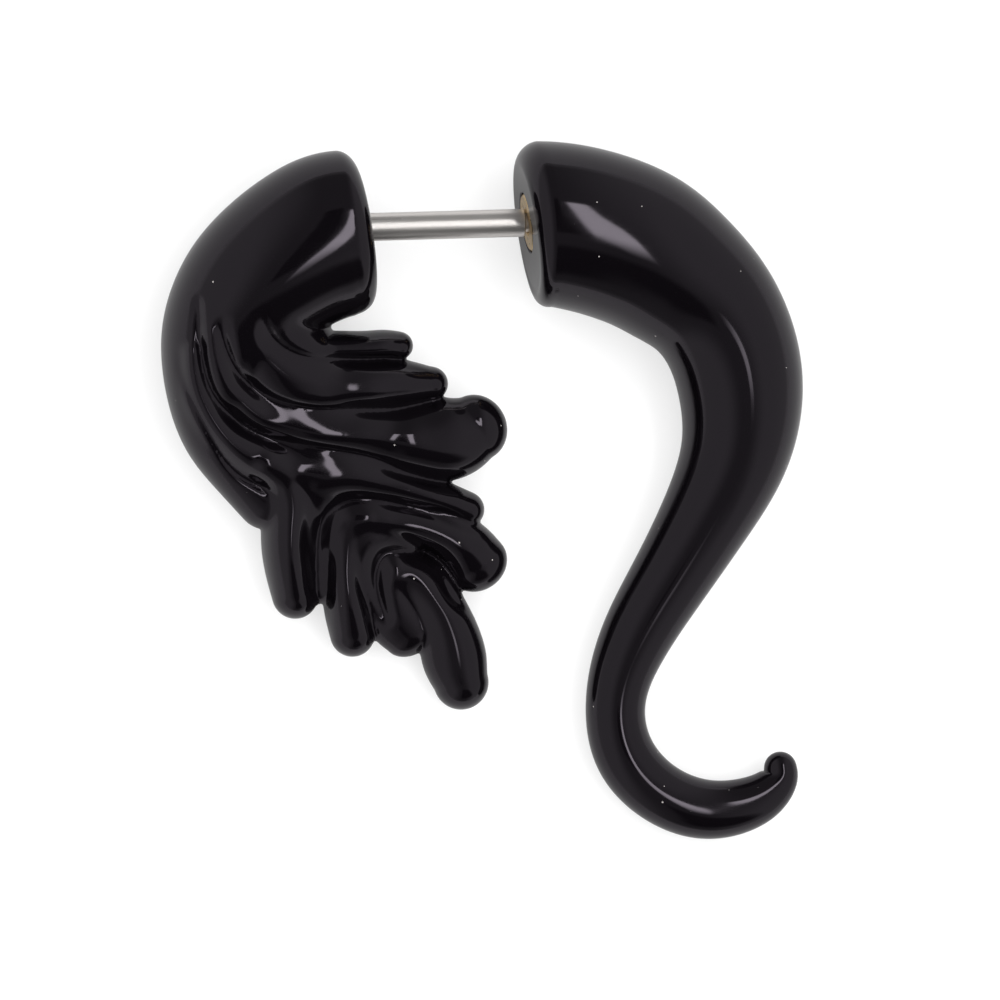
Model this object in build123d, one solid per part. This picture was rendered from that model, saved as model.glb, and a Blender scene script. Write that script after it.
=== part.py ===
from build123d import *
import os
from collections import namedtuple
from math import asin, cos, degrees, radians, sin, tan

# Fake spiral ear taper, in millimetres.
# The origin is the middle of the bare post. +X runs along the post from the carved front
# to the tail, +Y is away from both curved ends, and +Z is up from the table it lies on.

# Post and its thread
shank_radius = 0.60
lobe_gap = 7.0
tang_radius = 0.44
tang_length = 4.2
thread_core_radius = 0.44
thread_length = 5.0

# Brass insert
insert_radius = 1.25
insert_length = 5.7
insert_bore_depth = 5.25

# Faces that the lobe sits between
face_radius = 3.30
face_slant = 7.0
rim_radius = 0.80

# Reach from a face outwards, and drop below the post, of each black half
tail_reach = 11.8
tail_drop = 26.9
leaf_reach = 9.2
leaf_drop = 21.0

# Clearances
glue_gap = 0.01
running_gap = 0.04
seat_gap = 0.02
end_gap = 0.10

# How far round a closing dome each of its sections stands, in degrees
dome_angles = (32, 58, 78)

# A row for each cross-section along a curved piece. reach and drop are shares of the half's
# reach and drop, and width and depth are half sizes as shares of the face's radius.
Section = namedtuple("Section", "reach drop width depth")

tail_sections = (
    Section(-0.080, -0.002, 1.02, 1.02),
    Section(0.011, -0.001, 1.05, 1.04),
    Section(0.124, 0.005, 1.07, 1.07),
    Section(0.271, 0.021, 1.07, 1.07),
    Section(0.417, 0.048, 1.05, 1.05),
    Section(0.544, 0.087, 0.99, 0.99),
    Section(0.660, 0.135, 0.91, 0.91),
    Section(0.741, 0.196, 0.86, 0.86),
    Section(0.781, 0.272, 0.82, 0.81),
    Section(0.759, 0.374, 0.72, 0.71),
    Section(0.657, 0.471, 0.61, 0.60),
    Section(0.502, 0.581, 0.52, 0.51),
    Section(0.359, 0.687, 0.45, 0.44),
    Section(0.299, 0.779, 0.39, 0.39),
    Section(0.333, 0.860, 0.40, 0.40),
    Section(0.455, 0.921, 0.40, 0.40),
    Section(0.622, 0.951, 0.39, 0.39),
    Section(0.772, 0.946, 0.35, 0.34),
    Section(0.869, 0.924, 0.29, 0.28),
    Section(0.908, 0.897, 0.23, 0.22),
    Section(0.906, 0.884, 0.21, 0.20),
)

# The carved front: its stem first, then the ridges that end in teeth
leaf_lobes = {
    "stem": (
        Section(-0.100, 0.004, 1.01, 1.00),
        Section(0.005, 0.009, 1.04, 1.03),
        Section(0.117, 0.014, 1.08, 1.07),
        Section(0.260, 0.034, 1.09, 1.07),
        Section(0.412, 0.074, 1.03, 1.01),
        Section(0.556, 0.126, 0.94, 0.92),
        Section(0.656, 0.186, 0.82, 0.82),
        Section(0.720, 0.264, 0.71, 0.72),
        Section(0.736, 0.347, 0.54, 0.64),
        Section(0.694, 0.422, 0.47, 0.57),
        Section(0.596, 0.485, 0.43, 0.50),
        Section(0.472, 0.551, 0.43, 0.43),
    ),
    "tooth_1": (
        Section(0.429, 0.144, 0.23, 0.75),
        Section(0.359, 0.203, 0.18, 0.60),
        Section(0.270, 0.228, 0.15, 0.48),
        Section(0.125, 0.237, 0.14, 0.40),
        Section(-0.040, 0.238, 0.17, 0.36),
        Section(-0.151, 0.245, 0.18, 0.32),
    ),
    "tooth_2": (
        Section(0.568, 0.200, 0.29, 0.80),
        Section(0.507, 0.242, 0.29, 0.70),
        Section(0.399, 0.279, 0.29, 0.62),
        Section(0.268, 0.301, 0.30, 0.55),
        Section(0.127, 0.312, 0.32, 0.50),
        Section(-0.024, 0.312, 0.31, 0.46),
        Section(-0.203, 0.314, 0.26, 0.40),
        Section(-0.288, 0.323, 0.22, 0.34),
    ),
    "tooth_3": (
        Section(0.705, 0.239, 0.18, 0.76),
        Section(0.645, 0.302, 0.26, 0.70),
        Section(0.534, 0.352, 0.29, 0.64),
        Section(0.365, 0.383, 0.27, 0.59),
        Section(0.163, 0.402, 0.27, 0.55),
        Section(-0.016, 0.411, 0.31, 0.52),
        Section(-0.172, 0.421, 0.40, 0.50),
        Section(-0.345, 0.428, 0.53, 0.48),
        Section(-0.495, 0.424, 0.52, 0.46),
    ),
    "tooth_4": (
        Section(0.765, 0.346, 0.23, 0.66),
        Section(0.673, 0.410, 0.28, 0.62),
        Section(0.499, 0.441, 0.23, 0.58),
        Section(0.320, 0.452, 0.19, 0.54),
        Section(0.118, 0.473, 0.18, 0.50),
        Section(-0.057, 0.492, 0.17, 0.46),
        Section(-0.206, 0.523, 0.17, 0.42),
        Section(-0.338, 0.554, 0.19, 0.38),
        Section(-0.453, 0.586, 0.23, 0.34),
    ),
    "tooth_5": (
        Section(0.088, 0.573, 0.19, 0.42),
        Section(-0.021, 0.577, 0.19, 0.44),
        Section(-0.148, 0.587, 0.18, 0.44),
        Section(-0.275, 0.609, 0.19, 0.43),
        Section(-0.385, 0.642, 0.30, 0.41),
        Section(-0.508, 0.692, 0.41, 0.38),
    ),
    "tooth_6": (
        Section(-0.107, 0.704, 0.26, 0.38),
        Section(-0.214, 0.728, 0.34, 0.41),
        Section(-0.321, 0.780, 0.34, 0.42),
        Section(-0.382, 0.859, 0.41, 0.42),
        Section(-0.409, 0.932, 0.40, 0.40),
    ),
    "tooth_7": (
        Section(0.031, 0.574, 0.19, 0.42),
        Section(0.116, 0.604, 0.20, 0.44),
        Section(0.128, 0.662, 0.20, 0.43),
        Section(0.111, 0.724, 0.22, 0.41),
        Section(0.094, 0.774, 0.26, 0.39),
        Section(0.087, 0.832, 0.31, 0.36),
    ),
    "tooth_8": (
        Section(0.532, 0.453, 0.26, 0.54),
        Section(0.416, 0.496, 0.29, 0.50),
        Section(0.385, 0.569, 0.30, 0.47),
        Section(0.391, 0.641, 0.30, 0.43),
        Section(0.354, 0.748, 0.32, 0.38),
    ),
}

# Corners of the flat web between the ridges, and half its thickness
Corner = namedtuple("Corner", "reach drop")
web_outline = (
    Corner(0.548, 0.194),
    Corner(0.314, 0.239),
    Corner(-0.051, 0.256),
    Corner(-0.228, 0.302),
    Corner(-0.415, 0.400),
    Corner(-0.462, 0.520),
    Corner(-0.455, 0.690),
    Corner(-0.375, 0.780),
    Corner(-0.302, 0.898),
    Corner(-0.027, 0.845),
    Corner(0.227, 0.801),
    Corner(0.445, 0.682),
    Corner(0.559, 0.556),
    Corner(0.767, 0.388),
    Corner(0.762, 0.243),
)
web_half_depth = 0.75

# Where each half is widest, and where its far end comes down on the table
tail_widest = tail_sections[3]
tail_foot = tail_sections[16]
leaf_widest = leaf_lobes["stem"][3]
leaf_foot = leaf_lobes["tooth_6"][-1]

half_gap = lobe_gap / 2


def lie_angle(widest, foot, drop):
    """Angle that a half turns about the post to rest on its widest part and its far end."""
    height_step = (widest.depth - foot.depth) * face_radius
    distance = (foot.drop - widest.drop) * drop
    return degrees(asin(height_step / distance))


def place(section, side, reach, drop):
    """Middle of a cross-section: side is 1 for the tail and -1 for the carved front."""
    return Vector(side * (half_gap + section.reach * reach), -section.drop * drop, 0)


def heading(points, index):
    """Direction of the line through the points at one of them."""
    before = points[max(index - 1, 0)]
    after = points[min(index + 1, len(points) - 1)]
    return (after - before).normalized()


def cross_section(middle, direction, half_width, half_depth):
    """Ellipse across a direction that lies flat, with its depth upright."""
    across = Vector(0, 0, 1).cross(direction)
    plane = Plane(origin=middle, x_dir=across, z_dir=direction)
    return plane * Ellipse(half_width, half_depth)


def dome(middle, direction, row, outward):
    """Cross-sections that shrink to close a lobe in a rounded end. outward is 1 or -1."""
    half_width = row.width * face_radius
    half_depth = row.depth * face_radius
    length = min(half_width, half_depth)
    slices = []
    for angle in dome_angles:
        shrink = cos(radians(angle))
        place_out = middle + direction * (outward * length * sin(radians(angle)))
        slices.append(cross_section(place_out, direction, half_width * shrink, half_depth * shrink))
    return slices


def lobe(rows, side, reach, drop, round_root, round_tip):
    """Loft through the rows of a table, with a dome at its root, at its tip or at both."""
    points = [place(row, side, reach, drop) for row in rows]
    slices = [
        cross_section(point, heading(points, index), row.width * face_radius, row.depth * face_radius)
        for index, (point, row) in enumerate(zip(points, rows))
    ]
    if round_root:
        slices = dome(points[0], heading(points, 0), rows[0], -1)[::-1] + slices
    if round_tip:
        slices = slices + dome(points[-1], heading(points, len(points) - 1), rows[-1], 1)
    return loft([part.face() for part in slices])


def face_plane(side):
    """Slanted plane of the face that meets the lobe, looking out of the black half."""
    slant = radians(face_slant)
    return Plane(origin=(side * half_gap, 0, 0), z_dir=(-side * cos(slant), -side * sin(slant), 0))


def cut_face(half, side):
    """Trim a half at its slanted face and round the face's rim."""
    plane = face_plane(side)
    waste = Box(
        3 * face_radius, 3 * face_radius, face_radius, align=(Align.CENTER, Align.CENTER, Align.MIN)
    )
    trimmed = half - plane * waste
    flat = trimmed.faces().sort_by(Axis(plane.origin, plane.z_dir))[-1]
    return fillet(flat.outer_wire().edges(), rim_radius)


def rod(radius, start, end):
    """Round bar along the post's axis between two places on it."""
    return Plane(origin=(start, 0, 0), z_dir=(1, 0, 0)) * Cylinder(
        radius, end - start, align=(Align.CENTER, Align.CENTER, Align.MIN)
    )


def make_post():
    """Steel post: a bare shank between the faces, a glued tang and a threaded end."""
    shoulder = half_gap - shank_radius * tan(radians(face_slant)) - seat_gap
    tang = rod(tang_radius, -half_gap - tang_length, -shoulder)
    shank = rod(shank_radius, -shoulder, shoulder)
    threaded = rod(thread_core_radius, shoulder, half_gap + thread_length)
    return tang + shank + threaded


def make_insert():
    """Brass sleeve for the thread, faced off level with the tail's slanted face."""
    sleeve = rod(insert_radius, half_gap - insert_radius, half_gap + insert_length)
    bore_radius = thread_core_radius + running_gap
    sleeve -= rod(bore_radius, half_gap - insert_radius, half_gap + insert_bore_depth)
    return split(sleeve, bisect_by=face_plane(1), keep=Keep.BOTTOM)


def make_tail():
    """Black tail that sweeps back behind the ear in a long S and ends in a curl."""
    body = lobe(tail_sections, 1, tail_reach, tail_drop, round_root=False, round_tip=True)
    body = cut_face(body, 1)
    pocket_start = half_gap - 2 * insert_radius
    body -= rod(insert_radius + running_gap, pocket_start, half_gap + insert_length + end_gap)
    turn = lie_angle(tail_widest, tail_foot, tail_drop)
    return Rotation(turn, 0, 0) * body


def make_web():
    """Flat web that fills the valleys between the ridges of the carved front."""
    corners = [place(corner, -1, leaf_reach, leaf_drop) for corner in web_outline]
    outline = make_face(Polyline(*corners, close=True))
    return extrude(outline, web_half_depth, both=True)


def make_leaf():
    """Black carved front: a horn that bends over and opens into a fan of rounded teeth."""
    body = make_web()
    for name, rows in leaf_lobes.items():
        is_stem = name == "stem"
        ridge = lobe(rows, -1, leaf_reach, leaf_drop, round_root=not is_stem, round_tip=True)
        body += cut_face(ridge, -1) if is_stem else ridge
    bore_start = -half_gap - tang_length - end_gap
    body -= rod(tang_radius + glue_gap, bore_start, -half_gap + 2 * tang_radius)
    turn = lie_angle(leaf_widest, leaf_foot, leaf_drop)
    return Rotation(turn, 0, 0) * body


pieces = {
    "post": make_post,
    "threaded_insert": make_insert,
    "tail_taper": make_tail,
    "front_leaf": make_leaf,
}

os.makedirs("parts", exist_ok=True)
for name, make in pieces.items():
    export_step(make(), f"parts/{name}.step")
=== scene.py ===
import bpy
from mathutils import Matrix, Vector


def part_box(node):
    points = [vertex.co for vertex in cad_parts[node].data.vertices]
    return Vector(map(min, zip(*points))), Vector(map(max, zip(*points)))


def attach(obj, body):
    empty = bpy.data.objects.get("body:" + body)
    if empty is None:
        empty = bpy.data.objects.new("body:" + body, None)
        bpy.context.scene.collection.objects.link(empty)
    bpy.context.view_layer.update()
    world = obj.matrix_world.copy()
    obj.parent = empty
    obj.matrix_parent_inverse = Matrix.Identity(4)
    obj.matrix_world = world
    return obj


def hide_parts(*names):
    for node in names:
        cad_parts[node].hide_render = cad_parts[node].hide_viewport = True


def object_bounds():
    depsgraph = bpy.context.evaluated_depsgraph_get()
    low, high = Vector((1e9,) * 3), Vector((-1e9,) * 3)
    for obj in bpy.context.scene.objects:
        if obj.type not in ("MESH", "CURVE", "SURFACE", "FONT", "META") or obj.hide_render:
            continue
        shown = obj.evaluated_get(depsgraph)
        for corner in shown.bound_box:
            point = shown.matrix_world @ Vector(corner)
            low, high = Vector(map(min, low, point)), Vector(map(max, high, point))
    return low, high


bl_info = {
    "name": "Spiral Ear Taper",
    "version": (1, 0, 0),
    "blender": (4, 5, 0),
    "location": "View3D > Sidebar > Ear Taper",
    "description": "Dresses a fake spiral ear taper and lays it on a pale table under studio light",
    "category": "Object",
}

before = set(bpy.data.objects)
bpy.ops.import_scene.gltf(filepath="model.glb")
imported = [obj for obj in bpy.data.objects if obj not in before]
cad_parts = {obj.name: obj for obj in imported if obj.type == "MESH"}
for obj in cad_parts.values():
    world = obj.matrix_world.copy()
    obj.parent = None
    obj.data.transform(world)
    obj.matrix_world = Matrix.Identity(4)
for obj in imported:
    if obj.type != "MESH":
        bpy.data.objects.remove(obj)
cad_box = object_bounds()

from collections import namedtuple
from math import asin, atan2, cos, pi, radians, sin, tan

import bpy
import numpy as np
from bpy.props import FloatProperty, FloatVectorProperty, PointerProperty
from bpy.types import Operator, Panel, PropertyGroup
from mathutils import Matrix, Vector

# Lengths below are in millimetres, and meshes are made in metres
MM = 0.001

# The bare post lies on the X axis with its middle at the origin, as in the frame
post_low, post_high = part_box("post")
_, insert_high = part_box("threaded_insert")
shank_radius = post_high.z / MM
post_start = post_low.x / MM
post_end = post_high.x / MM
insert_end = insert_high.x / MM
insert_radius = insert_high.z / MM

# Faces that the lobe sits between
half_gap = 3.5
face_radius = 3.3
face_slant = radians(7.0)
seat_gap = 0.02
shoulder = half_gap - shank_radius * tan(face_slant) - seat_gap

# Ends of the post, and the bores that take them
tang_radius = 0.44
thread_core_radius = 0.44
tang_bore_radius = 0.45
tang_bore_end = -7.8
insert_bore_radius = 0.48
insert_bore_end = 8.75
pocket_radius = 1.29
pocket_end = 9.3

# Reach from a face outwards, and drop below the post, of each black half
tail_reach = 11.8
tail_drop = 26.9
leaf_reach = 9.2
leaf_drop = 21.0

# Four values for each cross-section along a curved piece. The first two are shares of the
# half's reach and drop, and the others its half width and half depth as shares of the face's radius.
tail_rows = (
    (-0.080, -0.002, 1.02, 1.02), (0.011, -0.001, 1.05, 1.04), (0.124, 0.005, 1.07, 1.07),
    (0.271, 0.021, 1.07, 1.07), (0.417, 0.048, 1.05, 1.05), (0.544, 0.087, 0.99, 0.99),
    (0.660, 0.135, 0.91, 0.91), (0.741, 0.196, 0.86, 0.86), (0.781, 0.272, 0.82, 0.81),
    (0.759, 0.374, 0.72, 0.71), (0.657, 0.471, 0.61, 0.60), (0.502, 0.581, 0.52, 0.51),
    (0.359, 0.687, 0.45, 0.44), (0.299, 0.779, 0.39, 0.39), (0.333, 0.860, 0.40, 0.40),
    (0.455, 0.921, 0.40, 0.40), (0.622, 0.951, 0.39, 0.39), (0.772, 0.946, 0.35, 0.34),
    (0.869, 0.924, 0.29, 0.28), (0.908, 0.897, 0.23, 0.22), (0.906, 0.884, 0.21, 0.20),
)

leaf_rows = {
    "neck": (
        (0.004, 0.009, 1.04, 0.99), (0.118, 0.012, 1.08, 1.02), (0.260, 0.034, 1.06, 1.04),
        (0.412, 0.074, 1.01, 1.04), (0.555, 0.126, 0.93, 1.00), (0.656, 0.186, 0.82, 0.92),
        (0.720, 0.264, 0.69, 0.82), (0.741, 0.347, 0.53, 0.68), (0.699, 0.422, 0.45, 0.58),
        (0.606, 0.485, 0.41, 0.48), (0.479, 0.551, 0.40, 0.42),
    ),
    "body": (
        (0.515, 0.180, 0.78, 0.83), (0.416, 0.268, 0.81, 0.76), (0.308, 0.353, 0.86, 0.68),
        (0.196, 0.437, 0.91, 0.62), (0.116, 0.525, 0.91, 0.56), (0.046, 0.615, 0.81, 0.48),
        (-0.043, 0.709, 0.60, 0.42), (-0.099, 0.768, 0.44, 0.36), (-0.150, 0.808, 0.44, 0.32),
        (-0.192, 0.832, 0.40, 0.30),
    ),
    "fold": (
        (0.455, 0.475, 0.44, 0.58), (0.352, 0.559, 0.42, 0.50), (0.295, 0.653, 0.36, 0.41),
        (0.249, 0.730, 0.26, 0.30),
    ),
    "tooth_1": (
        (0.405, 0.148, 0.23, 0.76), (0.336, 0.207, 0.21, 0.64), (0.257, 0.233, 0.19, 0.55),
        (0.125, 0.241, 0.19, 0.49), (-0.007, 0.241, 0.18, 0.45), (-0.092, 0.240, 0.18, 0.40),
        (-0.154, 0.244, 0.18, 0.32),
    ),
    "tooth_2": (
        (0.577, 0.204, 0.36, 0.79), (0.512, 0.244, 0.40, 0.73), (0.409, 0.281, 0.43, 0.67),
        (0.296, 0.303, 0.44, 0.65), (0.193, 0.315, 0.44, 0.64), (0.099, 0.322, 0.43, 0.63),
        (0.014, 0.324, 0.41, 0.61), (-0.109, 0.323, 0.36, 0.53), (-0.213, 0.323, 0.29, 0.44),
        (-0.302, 0.324, 0.22, 0.33),
    ),
    "tooth_3": (
        (0.770, 0.191, 0.23, 0.82), (0.716, 0.260, 0.30, 0.76), (0.640, 0.315, 0.36, 0.71),
        (0.544, 0.360, 0.40, 0.67), (0.374, 0.391, 0.43, 0.63), (0.163, 0.411, 0.44, 0.63),
        (0.045, 0.420, 0.47, 0.62), (-0.077, 0.435, 0.49, 0.58), (-0.171, 0.442, 0.52, 0.58),
        (-0.266, 0.443, 0.54, 0.55), (-0.370, 0.439, 0.55, 0.51), (-0.450, 0.430, 0.51, 0.46),
        (-0.512, 0.418, 0.44, 0.40),
    ),
    "tooth_4": (
        (0.835, 0.231, 0.23, 0.79), (0.807, 0.321, 0.30, 0.74), (0.717, 0.397, 0.35, 0.70),
        (0.555, 0.449, 0.39, 0.64), (0.338, 0.485, 0.40, 0.60), (0.119, 0.511, 0.39, 0.57),
        (-0.055, 0.527, 0.34, 0.53), (-0.206, 0.544, 0.27, 0.49), (-0.338, 0.560, 0.23, 0.43),
        (-0.462, 0.585, 0.23, 0.35),
    ),
    "tooth_5": (
        (0.088, 0.588, 0.26, 0.48), (-0.020, 0.589, 0.30, 0.49), (-0.148, 0.597, 0.31, 0.48),
        (-0.274, 0.615, 0.31, 0.49), (-0.382, 0.638, 0.34, 0.49), (-0.457, 0.666, 0.38, 0.45),
        (-0.508, 0.697, 0.41, 0.36),
    ),
    "tooth_6": (
        (-0.116, 0.706, 0.29, 0.39), (-0.219, 0.726, 0.36, 0.42), (-0.314, 0.780, 0.36, 0.42),
        (-0.369, 0.842, 0.40, 0.41), (-0.398, 0.899, 0.42, 0.40), (-0.425, 0.942, 0.36, 0.37),
    ),
    "tooth_7": (
        (0.031, 0.588, 0.23, 0.48), (0.112, 0.616, 0.26, 0.47), (0.133, 0.666, 0.26, 0.47),
        (0.130, 0.732, 0.26, 0.49), (0.113, 0.778, 0.29, 0.46), (0.086, 0.836, 0.29, 0.34),
    ),
    "tooth_8": (
        (0.500, 0.468, 0.36, 0.64), (0.414, 0.508, 0.34, 0.58), (0.389, 0.569, 0.32, 0.56),
        (0.392, 0.641, 0.32, 0.56), (0.375, 0.700, 0.32, 0.50), (0.353, 0.752, 0.30, 0.38),
    ),
}

# Five values for each place along a carved valley. The first two are again shares of reach and
# drop, the third is the share of the height that it takes away, and the last two are how far its
# sides spread towards the post and away from it, as shares of the face's radius.
leaf_valleys = {
    "valley_1": (
        (0.532, 0.147, 0.00, 0.13, 0.18), (0.503, 0.184, 0.07, 0.13, 0.23),
        (0.435, 0.223, 0.11, 0.13, 0.29), (0.349, 0.246, 0.12, 0.13, 0.31),
        (0.229, 0.259, 0.13, 0.12, 0.31), (0.084, 0.263, 0.13, 0.12, 0.29),
        (-0.061, 0.269, 0.12, 0.12, 0.21), (-0.160, 0.276, 0.10, 0.10, 0.16),
        (-0.224, 0.288, 0.06, 0.10, 0.13),
    ),
    "valley_2": (
        (0.717, 0.156, 0.00, 0.16, 0.16), (0.707, 0.202, 0.12, 0.18, 0.21),
        (0.673, 0.248, 0.16, 0.21, 0.26), (0.612, 0.292, 0.17, 0.21, 0.31),
        (0.520, 0.325, 0.17, 0.21, 0.36), (0.391, 0.349, 0.17, 0.19, 0.39),
        (0.210, 0.362, 0.17, 0.19, 0.39), (0.018, 0.363, 0.18, 0.26, 0.39),
        (-0.176, 0.357, 0.16, 0.29, 0.39), (-0.356, 0.350, 0.10, 0.23, 0.31),
    ),
    "valley_3": (
        (0.815, 0.139, 0.10, 0.10, 0.10), (0.815, 0.201, 0.14, 0.16, 0.13),
        (0.797, 0.263, 0.16, 0.18, 0.21), (0.759, 0.315, 0.17, 0.21, 0.26),
        (0.692, 0.358, 0.18, 0.23, 0.31), (0.602, 0.392, 0.18, 0.23, 0.34),
        (0.450, 0.421, 0.18, 0.23, 0.34), (0.259, 0.440, 0.18, 0.23, 0.31),
        (0.092, 0.455, 0.20, 0.31, 0.26), (-0.074, 0.478, 0.22, 0.42, 0.21),
        (-0.242, 0.511, 0.22, 0.42, 0.18), (-0.364, 0.536, 0.12, 0.34, 0.16),
    ),
    "valley_4": (
        (0.225, 0.805, 0.20, 0.31, 0.10), (0.246, 0.747, 0.30, 0.39, 0.13),
        (0.257, 0.685, 0.34, 0.42, 0.16), (0.252, 0.627, 0.34, 0.42, 0.18),
        (0.210, 0.578, 0.34, 0.42, 0.21), (0.129, 0.554, 0.32, 0.39, 0.23),
        (0.011, 0.551, 0.28, 0.34, 0.23), (-0.097, 0.559, 0.25, 0.31, 0.26),
        (-0.216, 0.577, 0.23, 0.26, 0.29), (-0.361, 0.608, 0.18, 0.22, 0.26),
        (-0.495, 0.633, 0.10, 0.19, 0.21),
    ),
    "valley_5": (
        (-0.058, 0.797, 0.30, 0.23, 0.16), (-0.025, 0.751, 0.36, 0.29, 0.21),
        (-0.020, 0.699, 0.38, 0.34, 0.23), (-0.052, 0.670, 0.38, 0.36, 0.23),
        (-0.121, 0.661, 0.36, 0.36, 0.23), (-0.215, 0.671, 0.34, 0.36, 0.26),
        (-0.290, 0.692, 0.32, 0.36, 0.26), (-0.343, 0.734, 0.32, 0.36, 0.21),
        (-0.395, 0.772, 0.26, 0.31, 0.16), (-0.443, 0.790, 0.12, 0.23, 0.13),
    ),
    "valley_6": (
        (0.907, 0.230, 0.00, 0.13, 0.06), (0.884, 0.293, 0.08, 0.16, 0.06),
        (0.814, 0.370, 0.14, 0.18, 0.06), (0.713, 0.448, 0.16, 0.21, 0.06),
        (0.609, 0.500, 0.16, 0.21, 0.06), (0.486, 0.530, 0.12, 0.18, 0.06),
        (0.447, 0.541, 0.00, 0.16, 0.06),
    ),
}

# Place below the post where the slanted face has ended and the first tooth hasn't begun
face_reach = -3.95

# How the ridges and valleys of the carved front run into each other
ridge_room = 0.25
ridge_room_growth = 0.30
ridge_margin = 1.7
valley_fade = 0.5
valley_upper_curve = 2.0
valley_lower_curve = 1.5

# Squared half heights off the ridges, where a map hasn't begun and where it may not go lower
far_outside = -30.0
floor_outside = -4.0

# Block that the carved front is worked in, and the greatest depth under its skin
plan_margin = 0.6
plan_end = 2.8
block_half_height = 4.1
deepest = 3.5

# How finely the carved front is worked
leaf_curve_step = 0.1
map_step = 0.05
map_softness = 0.07
cell_size = 0.10
settling_passes = 4
settling_nudge = 0.02
least_slope = 0.05
longest_move = 0.1

# Rings of points along the tail, from the pocket to the tip
tail_curve_step = 0.02
tail_sides = 144
pocket_bevel = 0.05
pocket_middle = 0.6
face_rings = (0.08, 0.3, 0.6, 0.9)
rim_rings = 11
root_rings = 26
body_rings = 330
tip_rings = 10

# Places along the tail's line, counted in its steps
root_search = 400
root_end = 330.0
tip_rise = 20

# Turned pieces
lathe_sides = 96
shank_edge = 0.05
tang_chamfer = 0.1
thread_runout = 0.25
thread_chamfer = 0.12
rings_a_turn = 10
crest_slope = 1.4
crest_flat = 0.2
insert_chamfer = 0.10
insert_sink = 0.12
insert_face_middle = 0.8
insert_side_middle = 5.0
insert_bore_middle = 6.0

# Places of the sleeve under this one are measured from the slanted face
slant_limit = 1.0

# Edges sharper than these stay crisp
tail_crisp_angle = radians(40)
post_crisp_angle = radians(35)
insert_crisp_angle = radians(30)

# Finish of the black acrylic, with the height of its polishing marks in metres
acrylic_index = 1.49
acrylic_sheen = (0.97, 0.87, 1.0)
acrylic_glossier = 0.02
acrylic_duller = 0.04
acrylic_marks = {
    "Waviness": 1.0, "Wave Scale": 420.0, "Scratches": 0.12, "Scratch Scale": 3000.0, "Stretch": 0.3,
}
acrylic_mark_height = 0.000004
dust_specks = {"Density": 1400.0, "Share": 0.55, "Size": 0.06}
dust_colour = (0.32, 0.30, 0.29)

# Finish of a metal: the share of it that shines as metal, how dark its streaks are, how rough it
# is from streak to streak, and its polishing marks with their height in metres
Finish = namedtuple("Finish", "metal streak_share roughness marks mark_height")

steel_marks = {
    "Waviness": 0.2, "Wave Scale": 300.0, "Scratches": 1.0, "Scratch Scale": 9000.0, "Stretch": 0.02,
}
steel_finish = Finish(0.93, 0.8, (0.24, 0.38), steel_marks, 0.000004)
brass_marks = {
    "Waviness": 0.3, "Wave Scale": 900.0, "Scratches": 1.0, "Scratch Scale": 6000.0, "Stretch": 2.5,
}
brass_finish = Finish(1.0, 0.7, (0.2, 0.4), brass_marks, 0.000003)

# Light in the room, as shares of white
room_overhead = 0.15
room_sides = 0.46
horizon_light = 0.20
strip_light = 5.0
dark_light = 0.03
fill_radiance = 2.4

# Wide light straight above, in metres
fill_width = 2.4
fill_height = 1.2

# Where the room's edges start and end. The card and the strip are placed on a ceiling one unit
# up, across it from left to right and along it from front to back.
side_edge = (0.12, 0.62)
horizon_edge = (0.0, 0.12)
back_edge = (0.42, 0.62)
back_foot_edge = (0.10, 0.42)
back_left_edge = (-0.22, 0.02)
back_right_edge = (0.55, 1.05)
card_across = 0.04
card_along = 0.20
card_side_edge = (0.07, 0.13)
card_end_edge = (0.38, 0.50)
strip_across = 0.235
strip_turn = 0.06
strip_side_edge = (0.045, 0.065)
strip_front_edge = (-0.46, -0.10)
strip_back_edge = (0.50, 0.58)
least_part = 0.001

# Lens above the object, with its distance in metres
camera_lean = radians(9.0)
camera_roll = radians(1.83)
camera_distance = 0.45
seen_width = 42.857
seen_middle = (1.98, -11.85, 0.0)

# Table, with its half width in metres and its two lights as shares of its colour
table_half = 1.5
table_gap = 0.02
table_matt_share = 0.46
table_seen_light = 0.62
table_roughness = 0.8


def natural_curve(table, spacing):
    """Even points along the smooth curve through a table's rows, with a column for each value."""
    values = np.array(table, float)
    lengths = np.hypot(*np.diff(values[:, :2], axis=0).T)
    knots = np.concatenate(([0.0], np.cumsum(lengths)))
    count = len(knots)
    system = np.eye(count)
    right = np.zeros_like(values)
    for row in range(1, count - 1):
        before, after = lengths[row - 1], lengths[row]
        system[row, row - 1 : row + 2] = before, 2 * (before + after), after
        rise = (values[row + 1] - values[row]) / after
        right[row] = 6 * (rise - (values[row] - values[row - 1]) / before)
    bends = np.linalg.solve(system, right)
    steps = np.linspace(0, knots[-1], max(int(knots[-1] / spacing), 8))
    index = np.clip(np.searchsorted(knots, steps, side="right") - 1, 0, count - 2)
    span = lengths[index][:, None]
    far = ((steps - knots[index]) / lengths[index])[:, None]
    near = 1 - far
    line = near * values[index] + far * values[index + 1]
    line += ((near**3 - near) * bends[index] + (far**3 - far) * bends[index + 1]) * span**2 / 6
    return line


def real_rows(table, side, reach, drop):
    """A table with its places in millimetres and its other values as they are."""
    rows = []
    for across, down, *others in table:
        rows.append((side * (half_gap + across * reach), -down * drop, *others))
    return rows


def lie_angle(widest, foot, drop):
    """Angle that a half turns about the post to rest on its widest part and its far end."""
    _, widest_down, _, widest_depth = widest
    _, foot_down, _, foot_depth = foot
    height_step = (widest_depth - foot_depth) * face_radius
    return asin(height_step / ((foot_down - widest_down) * drop))


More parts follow.
